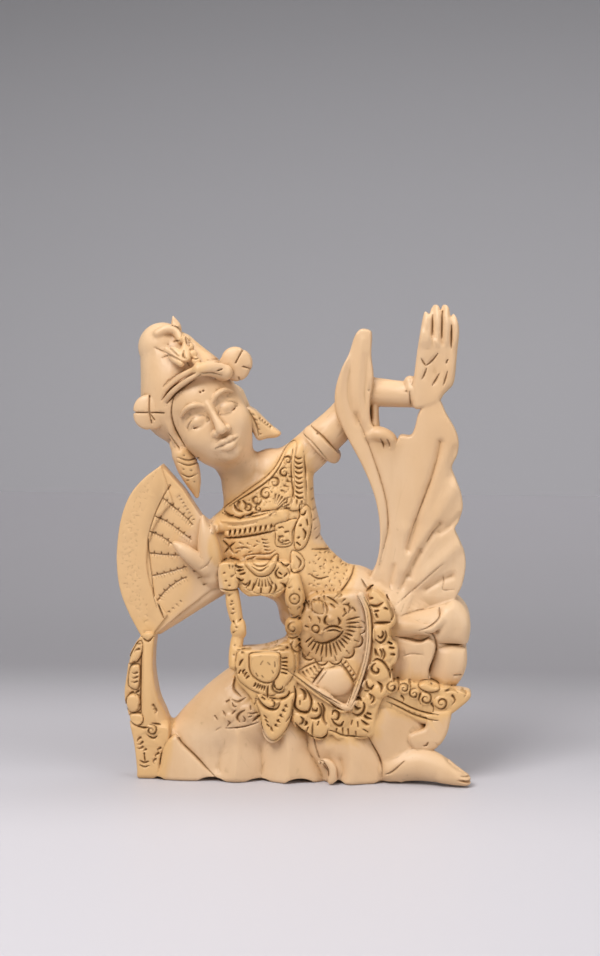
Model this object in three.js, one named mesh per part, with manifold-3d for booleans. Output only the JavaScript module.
// A seated dancer with a raised hand, a fan and a spreading scarf, carved from one block of pale wood.
// Millimetres, +Z up. The front looks along -Y, and +X is the raised hand's side.
import * as THREE from "three";
import { mergeVertices } from "three/addons/utils/BufferGeometryUtils.js";
import Module from "manifold-3d";

const wasm = await Module();
wasm.setup();

// Driving dimensions
const HEIGHT = 283; // underside to the raised fingertips
const BASE_FRONT = -36; // the hem is the part nearest the viewer
const BASE_BACK = 33;
const FAN = { x: -38, z: 131, inner: 48, front: -21, back: -11, rim: 1.6 };
const HEAD = { x: -49, y: -5, z: 214, halfWidth: 22, halfDepth: 23, halfHeight: 30, tilt: 22, turn: 12 };
const FLOWER = { radius: 10.5, petals: 4, thickness: 7 };
const ARM = { y: 5, foreRadius: 8.8, upperRadius: 12, z: 230 };
const HAND_Y = -4;
const STRAP_Y = -24;
const PENDANT = { front: -36, back: -22 };
const BORDER = { y: -30, radius: 2.6, scroll: 6.4 };
const SCARF = { front: -9, back: 4 };

const deg = THREE.MathUtils.degToRad;

// A closed geometry as a solid that can be joined and cut.
function solid(geometry) {
  const bare = geometry.index ? geometry.toNonIndexed() : geometry.clone();
  for (const name of Object.keys(bare.attributes)) if (name !== "position") bare.deleteAttribute(name);
  const merged = mergeVertices(bare, 1e-4);
  return new wasm.Manifold(
    new wasm.Mesh({
      numProp: 3,
      vertProperties: new Float32Array(merged.attributes.position.array),
      triVerts: new Uint32Array(merged.index.array),
    }),
  );
}

// Moves every vertex of a geometry by a function of its position.
function mapped(geometry, place) {
  const at = geometry.attributes.position;
  const p = new THREE.Vector3();
  for (let i = 0; i < at.count; i++) {
    place(p.fromBufferAttribute(at, i));
    at.setXYZ(i, p.x, p.y, p.z);
  }
  return geometry;
}

// A rounded limb along a smooth line. Each station is [x, y, z, half width, half depth].
function limb(stations, { around = 7, rings = 5, blunt = 0.55 } = {}) {
  const line = new THREE.CatmullRomCurve3(stations.map(([x, y, z]) => new THREE.Vector3(x, y, z)));
  const widths = new THREE.CatmullRomCurve3(
    stations.map(([, , , width, depth = width]) => new THREE.Vector3(width, depth, 0)),
  );
  const depthAxis = new THREE.Vector3(0, 1, 0);
  const geometry = new THREE.SphereGeometry(1, around, rings);
  return solid(
    mapped(geometry, (p) => {
      const t = THREE.MathUtils.clamp((1 - p.y) / 2, 0, 1);
      const ring = Math.hypot(p.x, p.z);
      const swell = ring > 1e-6 ? Math.pow(ring, blunt - 1) : 0;
      const size = widths.getPoint(t);
      const along = line.getTangent(t);
      const side = new THREE.Vector3().crossVectors(along, depthAxis).normalize();
      const deep = new THREE.Vector3().crossVectors(side, along).normalize();
      const { x, z } = p;
      p.copy(line.getPoint(t));
      p.addScaledVector(side, x * swell * size.x);
      p.addScaledVector(deep, -z * swell * size.y);
    }),
  );
}

// An ellipsoid, leaned by tilt about the depth axis and turned about its own height.
function ball([x, y, z], [rx, ry, rz], { tilt = 0, turn = 0, around = 8, rings = 5 } = {}) {
  const geometry = new THREE.SphereGeometry(1, around, rings);
  geometry.rotateX(Math.PI / 2).scale(rx, ry, rz).rotateZ(deg(turn)).rotateY(deg(-tilt)).translate(x, y, z);
  return solid(geometry);
}

// A flat shape seen from the front, from its front face back to its rear one, with chamfered edges.
function plate(outline, front, back, { edge = 1.5, divisions = 2 } = {}) {
  const points = outline.map(([x, z]) => new THREE.Vector2(x, z));
  const shape = new THREE.Shape();
  if (divisions > 1) {
    const line = new THREE.SplineCurve([...points, points[0]]);
    shape.setFromPoints(line.getPoints(points.length * divisions));
  } else {
    shape.setFromPoints(points);
  }
  const geometry = new THREE.ExtrudeGeometry(shape, {
    depth: back - front - 2 * edge,
    bevelEnabled: true,
    bevelSegments: 1,
    bevelThickness: edge,
    bevelSize: edge,
    bevelOffset: -edge,
  });
  geometry.rotateX(Math.PI / 2).translate(0, back - edge, 0);
  return solid(geometry);
}

// A cloth between two rails that run upwards. drape gives its middle depth and half thickness at a spot.
function cloth(left, right, drape, { columns = 4, rows = 12 } = {}) {
  const rail = (points) => new THREE.CatmullRomCurve3(points.map(([x, z]) => new THREE.Vector3(x, 0, z)));
  const [from, to] = [rail(left), rail(right)];
  const geometry = new THREE.BoxGeometry(1, 1, 1, columns, 1, rows);
  return solid(
    mapped(geometry, (p) => {
      const [across, side, up] = [p.x + 0.5, p.y * 2, p.z + 0.5];
      const { y, half } = drape(across, up);
      p.lerpVectors(from.getPoint(up), to.getPoint(up), across);
      p.y = y + side * half;
    }),
  );
}

// A round blossom, cut from the front as one lobed plate with a bud at its centre.
function blossom([x, y, z], { radius, petals, thickness }) {
  const steps = petals * 4;
  const outline = Array.from({ length: steps }, (_, i) => {
    const turn = (2 * Math.PI * i) / steps;
    const reach = radius * (0.74 + 0.26 * Math.sqrt(Math.abs(Math.sin((turn * petals) / 2))));
    return [x + Math.cos(turn) * reach, z + Math.sin(turn) * reach];
  });
  const bud = [radius * 0.3, thickness * 0.7, radius * 0.3];
  return [
    plate(outline, y - thickness / 2, y + thickness / 2, { edge: thickness / 4, divisions: 1 }),
    ball([x, y, z], bud, { around: 6, rings: 4 }),
  ];
}

// A row of raised knobs set along a line, as the scrolls of a carved border.
function knobs(points, count, radius, depth, y) {
  const line = new THREE.SplineCurve(points.map(([x, z]) => new THREE.Vector2(x, z)));
  return Array.from({ length: count }, (_, i) => {
    const p = line.getPointAt(i / (count - 1));
    return ball([p.x, y, p.y], [radius, depth, radius], { around: 6, rings: 3 });
  });
}

function head() {
  const { x, y, z, halfWidth, halfDepth, halfHeight, tilt, turn } = HEAD;
  const lean = deg(tilt);
  const face = deg(turn);
  // A point in the head's own frame: right, forward and up from its middle.
  const at = (right, forward, up) => {
    const across = right * Math.cos(face) + forward * Math.sin(face);
    const deep = right * Math.sin(face) - forward * Math.cos(face);
    return [
      x + across * Math.cos(lean) - up * Math.sin(lean),
      y + deep,
      z + across * Math.sin(lean) + up * Math.cos(lean),
    ];
  };
  const nose = [[...at(0, 19, 8), 2.4], [...at(0, 24, -3), 3.2], [...at(0, 20, -8), 2]];
  const mouth = [[...at(-5, 18.5, -12), 2], [...at(0, 20.5, -12), 3], [...at(5, 18.5, -12), 2]];
  return [
    ball([x, y, z], [halfWidth, halfDepth, halfHeight], { tilt: -tilt, around: 11, rings: 7 }),
    ball(at(0, 8, -13), [13, 13, 13], { tilt: -tilt }), // jaw and chin
    limb(nose, { around: 5, rings: 4 }),
    limb(mouth, { around: 5, rings: 4 }),
  ];
}

function headdress() {
  const dome = [[-58, 2, 222, 25, 24], [-69, 2, 240, 25, 23], [-77, 2, 255, 21, 20], [-79, 1, 275, 13, 13]];
  const band = [[-80, -8, 224, 4], [-70, -20, 231, 4], [-55, -26, 241, 4.2], [-38, -20, 243, 4],
    [-31, -8, 240, 4]];
  const leaves = [
    [[-58, -24, 248, 4], [-66, -22, 262, 4.5], [-71, -13, 275, 1.5]],
    [[-56, -23, 248, 4], [-58, -21, 258, 4], [-61, -16, 269, 1.5]],
    [[-55, -23, 247, 4], [-50, -20, 254, 4], [-49, -15, 262, 1.5]],
    [[-60, -24, 246, 4], [-69, -23, 252, 4], [-80, -18, 258, 1.5]],
  ].map((stations) => limb(stations, { around: 5, rings: 4 }));
  return [
    limb(dome, { around: 11, rings: 7 }),
    ball([-63, 8, 206], [21, 17, 27], { tilt: -HEAD.tilt }), // hair at the nape
    ball([-26, 5, 200], [10, 10, 9]), // hair under the right ear
    limb(band, { around: 6, rings: 8 }),
    ...leaves,
    ball([-53, -27, 245], [5, 4, 5], { around: 6, rings: 4 }), // the knot the leaves spring from
    ...blossom([-36, -13, 249], FLOWER),
    ...blossom([-88, -12, 220], FLOWER),
  ];
}

function earrings() {
  return [
    limb([[-64, -8, 196, 6], [-61, -9, 186, 8], [-58, -8, 176, 5],
      [-56, -7, 166, 1.5]], { around: 7, rings: 6 }),
    limb([[-32, -2, 216, 10], [-24, -3, 213, 11], [-17, -3, 210, 7],
      [-9, -2, 205, 1.5]], { around: 7, rings: 6 }),
  ];
}

function torso() {
  const trunk = [[46, 3, 80, 34, 26], [23, 2, 106, 31, 23], [4, 0, 123, 25, 20], [-9, -1, 143, 27, 20],
    [-14, 0, 162, 30, 18], [-12, 1, 184, 26, 14]];
  return [
    limb(trunk, { around: 10, rings: 8 }),
    ball([-25, -1, 128], [19, 18, 22]), // the side under the fan arm
    limb([[-26, 1, 162, 21, 14], [-33, 0, 180, 13, 13], [-42, -3, 199, 14, 13]], { rings: 4 }), // neck
    limb([[-30, 1, 187, 8], [-14, 1, 188, 9], [2, 2, 187, 14]], { around: 8, rings: 4 }), // raised shoulder
    ball([-35, 1, 151], [13, 13, 14], { around: 8, rings: 6 }), // lowered shoulder
  ];
}

// The collar, the chest bands and the round ornament at the waist.
function chestOrnament() {
  const bands = [
    [[-44, -10, 162, 4.5], [-32, -16, 164, 4.5], [-20, -15, 172, 5], [-8, -12, 183, 5], [-2, -6, 193, 5]],
    [[-43, -16, 144, 3.8], [-30, -19, 147, 3.8], [-14, -20, 150, 3.8], [2, -17, 160, 3.8]],
    [[6, -12, 184, 4.2], [7, -16, 168, 4.2], [4, -20, 152, 4.2], [3, -22, 136, 4.2], [2, -24, 122, 4.2]],
  ];
  return [
    ...bands.map((band) => limb(band, { around: 5, rings: 6 })),
    ball([-18, -19, 127], [16, 8, 14]),
    ball([-37, -20, 118], [6.5, 7, 9], { around: 6, rings: 6 }),
    ...knobs([[-33, 122], [-28, 115], [-18, 111.5], [-8, 115], [-3, 124]], 5, 6, 6, -21),
  ];
}

function raisedArm() {
  const { y, foreRadius, upperRadius, z } = ARM;
  const upper = [[-4, y - 2, 180, 15], [9, y - 1, 195, 13], [19, y - 1, 204.5, upperRadius],
    [29, y, 215, 10.5],
    [41, y + 1, z, 9]];
  const fore = [[34, y + 1, z, 9], [52, y - 1, z, foreRadius], [80, y - 4, z, foreRadius]];
  const armband = [[11, y - 1, 199, 9], [13, y - 1, 201, 13.5], [18, y - 1, 206, 13.5], [20, y, 208, 9]];
  const bracelet = [[66, y - 3, z, 7], [68, y - 3, z, 9.6], [72, y - 3, z, 9.6], [74, y - 3, z, 7]];
  return [
    limb(upper),
    limb(fore, { rings: 3 }),
    limb(armband, { around: 7, rings: 3, blunt: 0.3 }),
    limb(bracelet, { around: 7, rings: 3, blunt: 0.3 }),
    ball([70, y - 6, 238], [3.5, 4, 4], { around: 5, rings: 4 }),
  ];
}

// An open hand, its fingers up and its palm to the front.
function raisedHand() {
  const palm = [[74, 0, 222, 9, 6], [78, -2, 232, 12.5, 6.5], [83, HAND_Y, 247, 15, 6],
    [84.5, HAND_Y, 263, 13.5, 4.5]];
  const fingers = [
    { root: [75.5, 252], tip: [78.5, 280], radius: 4.6 },
    { root: [81.5, 256], tip: [84.5, HEIGHT], radius: 4.6 },
    { root: [88, 256], tip: [90.5, HEIGHT - 1], radius: 4.6 },
    { root: [94.5, 252], tip: [96, 277], radius: 4 },
  ].map(({ root, tip, radius }) => {
    const stations = [[root[0], HAND_Y, root[1], radius], [tip[0], HAND_Y, tip[1], radius]];
    return limb(stations, { around: 6, rings: 4, blunt: 0.45 });
  });
  return [
    limb(palm, { around: 8 }),
    ...fingers,
    limb([[73, -6, 236, 4.5], [77, -10, 246, 4], [82, -11, 254, 2.5]], { around: 5, rings: 4 }), // thumb
    limb([[85, -2, 224, 4], [92, -3, 238, 5],
      [94.5, HAND_Y, 256, 4]], { around: 6, rings: 4 }), // heel of the palm
  ];
}

function fanArm() {
  return [
    limb([[-36, 2, 152, 12], [-37, 0, 134, 10], [-37, -6, 120, 9]], { rings: 4 }),
    limb([[-34, -6, 120, 9], [-41, -14, 120, 8], [-47, -19, 122, 8]], { rings: 4 }),
    limb([[-46, -20, 115, 8, 6], [-49, -22, 127, 8.5, 6], [-50, -23, 140, 7, 5],
      [-53, -22, 157, 2, 3]], { rings: 6 }),
    limb([[-47, -22, 127, 5], [-59, -24, 134, 4.4], [-71, -22, 141, 2]], { around: 6, rings: 4 }),
  ];
}

function fan() {
  const { x, z, inner, front, back, rim } = FAN;
  const edge = [[-78, 188], [-93, 178], [-102, 163], [-105.5, 147], [-105.5, 131], [-104.5, 112],
    [-99, 96], [-86, 81]];
  const [from, to] = [126, 223];
  const spot = (angle, radius) => [x + Math.cos(deg(angle)) * radius, z + Math.sin(deg(angle)) * radius];
  const innerArc = Array.from({ length: 9 }, (_, i) => spot(from + ((to - from) * i) / 8, inner));
  const leaf = plate([...edge, [-44, 113], [-36, 122], [-38, 140],
    [-47, 152]], front, back, { edge: 1.2, divisions: 1 });
  const band = plate([...edge, ...innerArc.reverse()], front - rim, back, { edge: 1, divisions: 1 });
  const guard = limb([[-86, -15, 84, 4], [-66, -15, 100, 4.5],
    [-42, -15, 117, 5.5]], { around: 6, rings: 4 });
  const sticks = Array.from({ length: 7 }, (_, i) => {
    const angle = from + 6 + ((to - from - 12) * i) / 6;
    const [near, far] = [spot(angle, 14), spot(angle, inner - 2)];
    return limb([[near[0], front, near[1], 2], [far[0], front, far[1], 2.6]], { around: 4, rings: 3 });
  });
  return [leaf, band, guard, ...sticks];
}

function sash() {
  const left = [[-96, -3], [-97, 14], [-100, 29], [-102, 42], [-101, 58], [-99, 72], [-92, 88]];
  const right = [[-81, -3], [-81, 12], [-76, 26], [-72, 35], [-76, 44], [-80, 58], [-80, 72], [-80, 88]];
  const drape = (across, up) => ({
    y: -15 - 2 * (1 - up) + 2 * Math.cos(across * Math.PI * 2),
    half: 9 - 2 * up,
  });
  const frill = knobs([[-96, 76], [-99, 64], [-99.5, 52], [-99.5, 42], [-98, 32]], 5, 4, 7, -17);
  return [cloth(left, right, drape, { columns: 3, rows: 8 }), ...frill];
}

function scarf() {
  const { front, back } = SCARF;
  const middle = (front + back) / 2;
  const stripLeft = [[36, 96], [40, 110], [48, 123], [53, 146], [49, 166], [42, 183], [33, 201],
    [26, 214], [24, 225],
    [26, 241], [32, 258], [35, 268]];
  const stripRight = [[64, 96], [64, 116], [64, 132], [64, 150], [62, 168], [60, 184], [57, 201],
    [53, 212], [50, 226],
    [48, 242], [47, 257], [46, 268]];
  const strip = cloth(stripLeft, stripRight, (across, up) => ({
    y: middle - 2 - 3 * Math.sin(Math.PI * across) - 1.5 * Math.cos(3 * Math.PI * across) * up,
    half: (back - front) / 2 + 2,
  }), { columns: 3, rows: 11 });
  const spreadLeft = [[56, 94], [58, 116], [58, 140], [56, 168], [54, 190], [54, 205]];
  const spreadRight = [[96, 96], [101, 106], [103, 124], [104, 136], [99, 150], [102, 166], [100, 180],
    [98, 190], [99, 205]];
  const spread = cloth(spreadLeft, spreadRight, (across, up) => ({
    y: middle + 2 + (1 + 1.4 * across) * Math.sin(across * 16 + up),
    half: 4.6 - 1.2 * across,
  }), { columns: 6, rows: 8 });
  // The corner that runs on up to the wrist, beside the gap under the forearm.
  const corner = cloth([[71, 186], [70, 203], [73, 216], [80, 230]], [[99, 186], [99, 203], [95, 217],
    [89, 230]],
    (across, up) => ({ y: middle + 2 + across, half: 4.2 - up }), { columns: 2, rows: 4 });
  return [strip, spread, corner, ball([54, -2, 209], [7, 6, 7.5], { around: 7, rings: 4 })];
}

// The hips, the folded legs and the layers of cloth over them.
function lowerBody() {
  const forms = [
    [[-80, -8, 8, 10, 16], [-66, -8, 25, 18, 22], [-36, -8, 38, 25, 25], [2, -6, 54, 30, 26],
      [34, -2, 64, 32, 27]],
    [[24, -2, 80, 30, 26], [52, 2, 94, 33, 26], [88, 3, 90, 24, 22], [109, 3, 91, 10, 13]],
    [[36, 2, 62, 26, 24], [66, 3, 62, 24, 22], [92, 3, 64, 18, 18], [107, 3, 65, 9, 12]],
    [[48, -8, 50, 20, 20], [62, -12, 34, 21, 18], [66, -14, 8, 18, 14]],
    [[50, 6, 34, 26, 18], [76, 6, 38, 16, 16], [90, 4, 46, 8, 12]],
  ];
  const lap = ball([-14, 4, 60], [24, 22, 22]);
  const core = ball([42, -2, 52], [30, 26, 32]);
  return [...forms.map((stations) => limb(stations, { around: 9, rings: 6 })), lap, core];
}

// The skirt's mound, whose front falls in soft folds to a wavy hem on the table.
function skirt() {
  const [left, right, sunk] = [-82, 64, 2];
  const heights = [[0, 20], [0.12, 30], [0.35, 42], [0.65, 50], [0.9, 44], [1, 34]];
  const crest = new THREE.SplineCurve(heights.map(([across, height]) => new THREE.Vector2(across, height)));
  const geometry = new THREE.BoxGeometry(1, 1, 1, 18, 1, 3);
  mapped(geometry, (p) => {
    const [across, side, up] = [p.x + 0.5, p.y * 2, p.z + 0.5];
    const ends = 0.62 + 0.38 * (1 - Math.pow(Math.abs(2 * across - 1), 3.5));
    const fold = Math.cos(across * 43 + 2 * Math.sin(across * 9) - up) * (1 - 0.6 * up);
    const front = BASE_FRONT + 2.4 + 2.4 * fold + 12 * up * up;
    const back = BASE_BACK - 1 + fold - 12 * up * up;
    const height = crest.getPoint(across).y * up - sunk * (1 - up);
    p.set(left + (right - left) * across, (side < 0 ? front : back) * ends, height);
  });
  return [solid(geometry)];
}

function foot() {
  const sole = [[58, -16, 8, 12, 14], [76, -21, 13, 11, 12], [90, -26, 11.5, 8.5, 9], [105, -28, 3, 4, 7]];
  const toes = Array.from({ length: 4 }, (_, i) => {
    const y = -31.5 + i * 4.4;
    return limb([[94, y, 6, 3], [101, y, 3.5, 3], [106.5 - i * 0.8, y, 1.4, 2.2]], { around: 5, rings: 4 });
  });
  const clothEnd = [[92, -16, 46, 6, 8], [90, -18, 32, 7, 7], [83, -20, 24, 7, 6], [72, -20, 22, 3, 4]];
  return [limb(sole, { around: 8 }), ...toes, limb(clothEnd)];
}

// The carved hanging at the lap: two beaded straps and a pointed plate.
function lapHanging() {
  const { front, back } = PENDANT;
  const straps = [
    [[-36, 118, 6], [-34, 104, 6], [-33, 96, 5.4], [-31, 88, 7], [-30, 80, 5.4], [-30, 68, 5]],
    [[4, 120, 6.5], [2, 107, 8], [-1, 98, 5.4], [-2, 91, 7.4], [-2, 84, 5.4], [-2, 72, 6]],
  ].map((points) => limb(points.map(([x, z, r]) => [x, STRAP_Y, z, r]), { around: 6, rings: 8, blunt: 0.4 }));
  const outline = [[-31, 79], [-14, 79], [4, 82], [5, 62], [3, 46], [-4, 33], [-10, 26], [-15, 31],
    [-20, 42], [-29, 52],
    [-34, 64]];
  return [
    ...straps,
    plate(outline, front, back, { edge: 2.5 }),
    ball([-14, front + 3.6, 66], [10, 4, 9]),
    ball([-8, front + 3.4, 46], [6, 3.5, 9], { tilt: 8, around: 6, rings: 6 }),
  ];
}

// The scrolled border of the apron: a rib down to its point and up the hip, with scrolls outside it.
function apronBorder() {
  const { y, radius, scroll } = BORDER;
  const rib = [[2, -31, 66], [18, -32, 55], [33, -33, 46], [42, -31, 61], [47, -29, 78], [48, -27, 95],
    [44, -25, 112]];
  return [
    limb(rib.map((p) => [...p, radius]), { around: 5, rings: 8, blunt: 0.4 }),
    ...knobs([[8, 52], [18, 42], [28, 36], [40, 36], [50, 47]], 5, scroll, 8, y + 3),
    ...knobs([[54, 58], [56, 72], [56, 86], [54, 99], [49, 110]], 5, scroll, 10, y + 8),
    ball([22, -24, 84], [16, 9, 17], { around: 10 }),
    ...knobs([[7, 82], [11, 70], [22, 66], [33, 71], [38, 84]], 5, 4.8, 7, -24),
  ];
}

// The stiff tail of the girdle, which ends in an upturned point beyond the hip.
function girdleTail() {
  const tail = [[54, -20, 50, 9, 9], [70, -21, 50, 9.5, 8], [88, -20, 47, 10, 7], [98, -19, 49, 7, 6],
    [108, -18, 53, 2, 4]];
  return [limb(tail), ...knobs([[60, 57], [72, 59], [84, 58], [95, 57]], 4, 5.4, 6, -21)];
}

// Everything is carved from one block: the forms are joined, and the underside is cut flat.
function dancer() {
  const forms = [
    ...head(), ...headdress(), ...earrings(), ...torso(), ...chestOrnament(), ...raisedArm(), ...raisedHand(),
    ...fanArm(), ...fan(), ...sash(), ...scarf(), ...lowerBody(), ...skirt(), ...foot(), ...lapHanging(),
    ...apronBorder(), ...girdleTail(),
  ];
  const joined = wasm.Manifold.union(forms);
  const reach = 400;
  const table = solid(new THREE.BoxGeometry(reach, reach, reach).translate(0, 0, -reach / 2));
  return joined.subtract(table);
}

// A mesh's geometry, moved so that the origin is under the middle of the whole object.
function geometryOf(manifold) {
  const { numProp, vertProperties, triVerts } = manifold.getMesh();
  const positions = new Float32Array((vertProperties.length / numProp) * 3);
  for (let i = 0; i < positions.length / 3; i++) {
    positions.set(vertProperties.subarray(i * numProp, i * numProp + 3), i * 3);
  }
  const geometry = new THREE.BufferGeometry();
  geometry.setAttribute("position", new THREE.BufferAttribute(positions, 3));
  geometry.setIndex(new THREE.BufferAttribute(new Uint32Array(triVerts), 1));
  geometry.computeBoundingBox();
  const { min, max } = geometry.boundingBox;
  geometry.translate(-(min.x + max.x) / 2, -(min.y + max.y) / 2, -min.z);
  geometry.computeVertexNormals();
  return geometry;
}

const wood = new THREE.MeshStandardMaterial({ color: 0xd9b387, roughness: 0.55, metalness: 0 });
const figure = new THREE.Mesh(geometryOf(dancer()), wood);
figure.name = "dancer_figure";

const group = new THREE.Group();
group.add(figure);

export default group;
